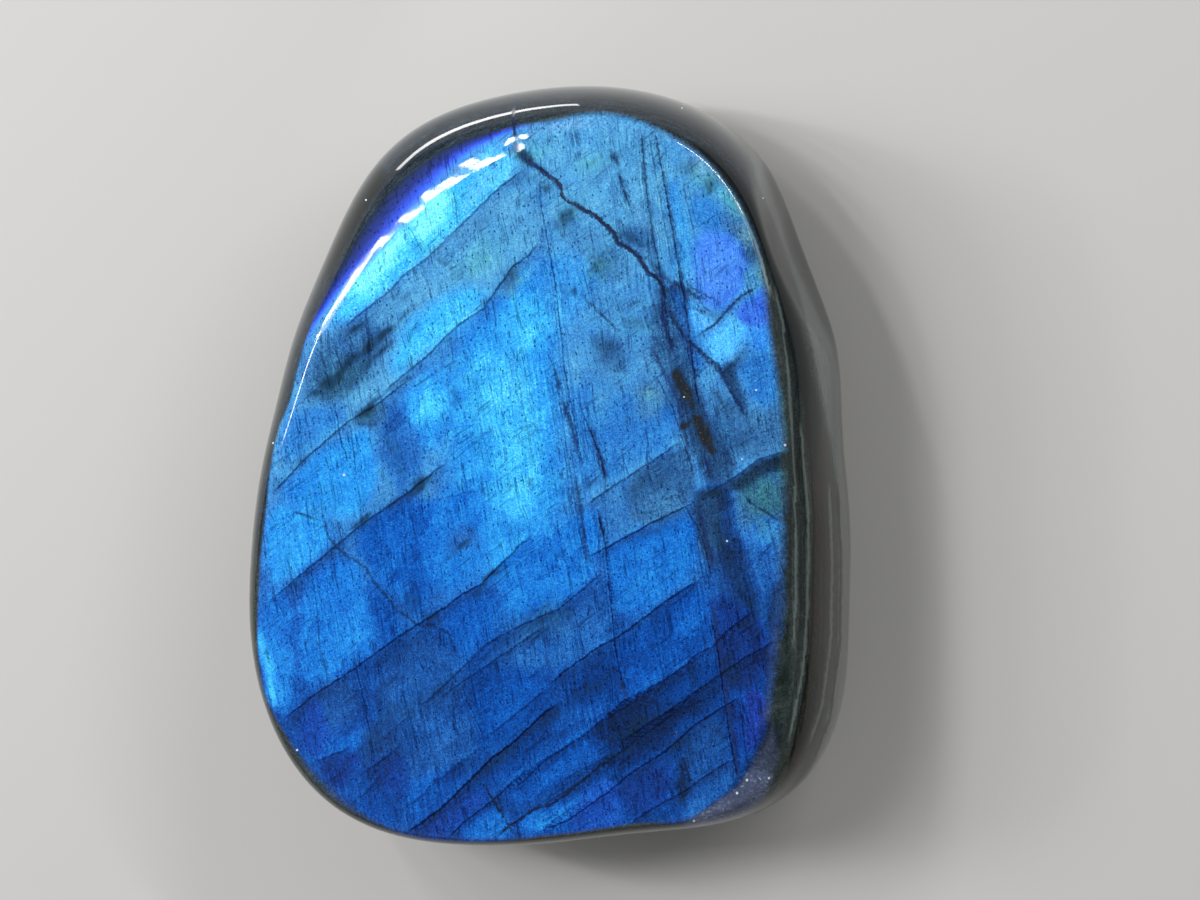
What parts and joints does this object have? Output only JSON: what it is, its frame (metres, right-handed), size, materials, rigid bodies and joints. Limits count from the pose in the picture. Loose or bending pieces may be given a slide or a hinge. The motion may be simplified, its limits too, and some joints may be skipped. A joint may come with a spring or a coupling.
{
  "type": "labradorite freeform",
  "caption": "Hand-sized polished labradorite freeform with a blue flashing face, rounded edges and a flat back that it rests on.",
  "frame": {"origin": "middle of the bounding box, at the flat back that the stone lies on", "axes": "+Z out of the bright face, +Y along the stone's length towards its narrower end, +X across it"},
  "size_m": [0.0542, 0.0688, 0.0217],
  "materials": {
    "labradorite": "high polish; blue flash on the face, dark grey-green stone on the walls and back"
  },
  "bodies": {
    "root": {"labradorite_stone": "labradorite"}
  },
  "joints": []
}
